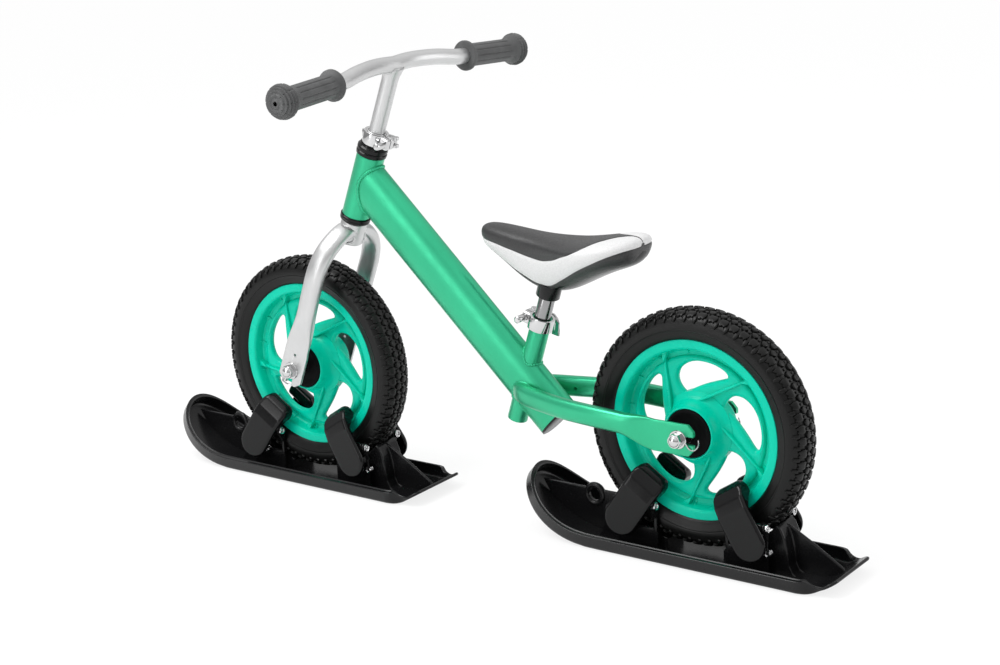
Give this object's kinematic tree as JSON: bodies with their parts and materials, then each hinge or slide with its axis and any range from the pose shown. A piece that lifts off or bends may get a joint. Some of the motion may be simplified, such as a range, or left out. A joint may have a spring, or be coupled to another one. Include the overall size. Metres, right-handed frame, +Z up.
{
  "type": "balance bike with skis",
  "caption": "Child's balance bike with turbine wheels standing on clip-on skis, a padded saddle on a clamped post and a clamped handlebar.",
  "frame": {"origin": "on the ground under the middle of the bike", "axes": "+X forward along the bike, +Y to the rider's left, +Z up"},
  "size_m": [1.062, 0.4832, 0.5781],
  "materials": {
    "chainstay_left": "satin metallic green",
    "chainstay_right": "satin metallic green",
    "down_tube": "satin metallic green",
    "down_tube_end_plug": "black moulded",
    "fork_leg_left": "satin silver",
    "fork_leg_right": "satin silver",
    "fork_steerer": "satin silver",
    "front_axle": "bright plated",
    "front_axle_nut_left": "bright plated",
    "front_axle_nut_right": "bright plated",
    "front_front_left_arm": "black moulded",
    "front_front_left_arm_pin": "bright plated",
    "front_front_right_arm": "black moulded",
    "front_front_right_arm_pin": "bright plated",
    "front_hub_cap_left": "black moulded",
    "front_hub_cap_right": "black moulded",
    "front_rear_left_arm": "black moulded",
    "front_rear_left_arm_pin": "bright plated",
    "front_rear_right_arm": "black moulded",
    "front_rear_right_arm_pin": "bright plated",
    "front_rim": "turquoise moulded",
    "front_ski": "black moulded",
    "front_tyre": "dark grey foam",
    "grip_left": "dark grey",
    "grip_right": "dark grey",
    "handlebar": "satin silver",
    "handlebar_stem": "satin silver",
    "head_tube": "satin metallic green",
    "headset_cup_lower": "black moulded",
    "headset_cup_upper": "black moulded",
    "rear_axle": "bright plated",
    "rear_axle_nut_left": "bright plated",
    "rear_axle_nut_right": "bright plated",
    "rear_front_left_arm": "black moulded",
    "rear_front_left_arm_pin": "bright plated",
    "rear_front_right_arm": "black moulded",
    "rear_front_right_arm_pin": "bright plated",
    "rear_hub_cap_left": "black moulded",
    "rear_hub_cap_right": "black moulded",
    "rear_rear_left_arm": "black moulded",
    "rear_rear_left_arm_pin": "bright plated",
    "rear_rear_right_arm": "black moulded",
    "rear_rear_right_arm_pin": "bright plated",
    "rear_rim": "turquoise moulded",
    "rear_ski": "black moulded",
    "rear_tyre": "dark grey foam",
    "saddle_base": "black moulded",
    "saddle_pad": "black and white leatherette",
    "seat_clamp": "bright plated",
    "seat_clamp_bolt": "bright plated",
    "seat_clamp_lever": "bright plated",
    "seat_post": "bright plated",
    "seat_tube": "satin metallic green",
    "stem_clamp": "bright plated",
    "stem_clamp_bolt": "bright plated",
    "stem_clamp_lever": "bright plated"
  },
  "bodies": {
    "frame": {"down_tube": "down_tube", "down_tube_end_plug": "down_tube_end_plug", "head_tube": "head_tube", "seat_tube": "seat_tube", "chainstay_left": "chainstay_left", "chainstay_right": "chainstay_right", "headset_cup_upper": "headset_cup_upper", "headset_cup_lower": "headset_cup_lower", "seat_clamp": "seat_clamp", "seat_clamp_bolt": "seat_clamp_bolt", "rear_axle": "rear_axle", "rear_axle_nut_left": "rear_axle_nut_left", "rear_axle_nut_right": "rear_axle_nut_right"},
    "steering": {"fork_steerer": "fork_steerer", "fork_leg_left": "fork_leg_left", "fork_leg_right": "fork_leg_right", "stem_clamp": "stem_clamp", "stem_clamp_bolt": "stem_clamp_bolt", "front_axle": "front_axle", "front_axle_nut_left": "front_axle_nut_left", "front_axle_nut_right": "front_axle_nut_right"},
    "handlebar": {"handlebar_stem": "handlebar_stem", "handlebar": "handlebar", "grip_left": "grip_left", "grip_right": "grip_right"},
    "seat": {"seat_post": "seat_post", "saddle_base": "saddle_base", "saddle_pad": "saddle_pad"},
    "stem_clamp_lever": {"stem_clamp_lever": "stem_clamp_lever"},
    "seat_clamp_lever": {"seat_clamp_lever": "seat_clamp_lever"},
    "rear_wheel": {"rear_rim": "rear_rim", "rear_tyre": "rear_tyre", "rear_hub_cap_left": "rear_hub_cap_left", "rear_hub_cap_right": "rear_hub_cap_right", "rear_ski": "rear_ski", "rear_front_left_arm_pin": "rear_front_left_arm_pin", "rear_front_right_arm_pin": "rear_front_right_arm_pin", "rear_rear_left_arm_pin": "rear_rear_left_arm_pin", "rear_rear_right_arm_pin": "rear_rear_right_arm_pin"},
    "rear_front_left_arm": {"rear_front_left_arm": "rear_front_left_arm"},
    "rear_front_right_arm": {"rear_front_right_arm": "rear_front_right_arm"},
    "rear_rear_left_arm": {"rear_rear_left_arm": "rear_rear_left_arm"},
    "rear_rear_right_arm": {"rear_rear_right_arm": "rear_rear_right_arm"},
    "front_wheel": {"front_rim": "front_rim", "front_tyre": "front_tyre", "front_hub_cap_left": "front_hub_cap_left", "front_hub_cap_right": "front_hub_cap_right", "front_ski": "front_ski", "front_front_left_arm_pin": "front_front_left_arm_pin", "front_front_right_arm_pin": "front_front_right_arm_pin", "front_rear_left_arm_pin": "front_rear_left_arm_pin", "front_rear_right_arm_pin": "front_rear_right_arm_pin"},
    "front_front_left_arm": {"front_front_left_arm": "front_front_left_arm"},
    "front_front_right_arm": {"front_front_right_arm": "front_front_right_arm"},
    "front_rear_left_arm": {"front_rear_left_arm": "front_rear_left_arm"},
    "front_rear_right_arm": {"front_rear_right_arm": "front_rear_right_arm"}
  },
  "joints": [
    {"name": "steering", "type": "hinge", "parent": "frame", "child": "steering", "pos_m": [0.17749, 0, 0.40836], "axis": [-0.3649, 0, 0.9311], "range_deg": [-45, 45]},
    {"name": "handlebar_height", "type": "slide", "parent": "steering", "child": "handlebar", "axis": [-0.3649, 0, 0.9311], "range_m": [-0.04, 0.055]},
    {"name": "seat_height", "type": "slide", "parent": "frame", "child": "seat", "axis": [-0.309, 0, 0.9511], "range_m": [-0.02, 0.05]},
    {"name": "stem_clamp_lever", "type": "hinge", "parent": "steering", "child": "stem_clamp_lever", "pos_m": [0.13388, -0.014, 0.46345], "axis": [-0.0941, 0, 0.9956], "range_deg": [-110, 0]},
    {"name": "seat_clamp_lever", "type": "hinge", "parent": "frame", "child": "seat_clamp_lever", "pos_m": [-0.07273, -0.014, 0.26453], "axis": [-0.309, 0, 0.9511], "range_deg": [0, 110]},
    {"name": "rear_wheel_pitch", "type": "hinge", "parent": "frame", "child": "rear_wheel", "pos_m": [-0.31557, 0, 0.159], "axis": [0, 1, 0], "range_deg": [-8, 25]},
    {"name": "rear_front_left_arm", "type": "hinge", "parent": "rear_wheel", "child": "rear_front_left_arm", "pos_m": [-0.24107, 0.0325, 0.062], "axis": [-1, 0, 0], "range_deg": [0, 15], "stiffness_Nm_per_rad": 0.8, "springref_deg": -17.19},
    {"name": "rear_front_right_arm", "type": "hinge", "parent": "rear_wheel", "child": "rear_front_right_arm", "pos_m": [-0.24107, -0.0325, 0.062], "axis": [1, 0, 0], "range_deg": [0, 15], "stiffness_Nm_per_rad": 0.8, "springref_deg": -17.19},
    {"name": "rear_rear_left_arm", "type": "hinge", "parent": "rear_wheel", "child": "rear_rear_left_arm", "pos_m": [-0.39007, 0.0325, 0.062], "axis": [-1, 0, 0], "range_deg": [0, 15], "stiffness_Nm_per_rad": 0.8, "springref_deg": -17.19},
    {"name": "rear_rear_right_arm", "type": "hinge", "parent": "rear_wheel", "child": "rear_rear_right_arm", "pos_m": [-0.39007, -0.0325, 0.062], "axis": [1, 0, 0], "range_deg": [0, 15], "stiffness_Nm_per_rad": 0.8, "springref_deg": -17.19},
    {"name": "front_wheel_pitch", "type": "hinge", "parent": "steering", "child": "front_wheel", "pos_m": [0.27843, 0, 0.159], "axis": [0, 1, 0], "range_deg": [-20, 20]},
    {"name": "front_front_left_arm", "type": "hinge", "parent": "front_wheel", "child": "front_front_left_arm", "pos_m": [0.35293, 0.0325, 0.062], "axis": [-1, 0, 0], "range_deg": [0, 15], "stiffness_Nm_per_rad": 0.8, "springref_deg": -17.19},
    {"name": "front_front_right_arm", "type": "hinge", "parent": "front_wheel", "child": "front_front_right_arm", "pos_m": [0.35293, -0.0325, 0.062], "axis": [1, 0, 0], "range_deg": [0, 15], "stiffness_Nm_per_rad": 0.8, "springref_deg": -17.19},
    {"name": "front_rear_left_arm", "type": "hinge", "parent": "front_wheel", "child": "front_rear_left_arm", "pos_m": [0.20393, 0.0325, 0.062], "axis": [-1, 0, 0], "range_deg": [0, 15], "stiffness_Nm_per_rad": 0.8, "springref_deg": -17.19},
    {"name": "front_rear_right_arm", "type": "hinge", "parent": "front_wheel", "child": "front_rear_right_arm", "pos_m": [0.20393, -0.0325, 0.062], "axis": [1, 0, 0], "range_deg": [0, 15], "stiffness_Nm_per_rad": 0.8, "springref_deg": -17.19}
  ]
}
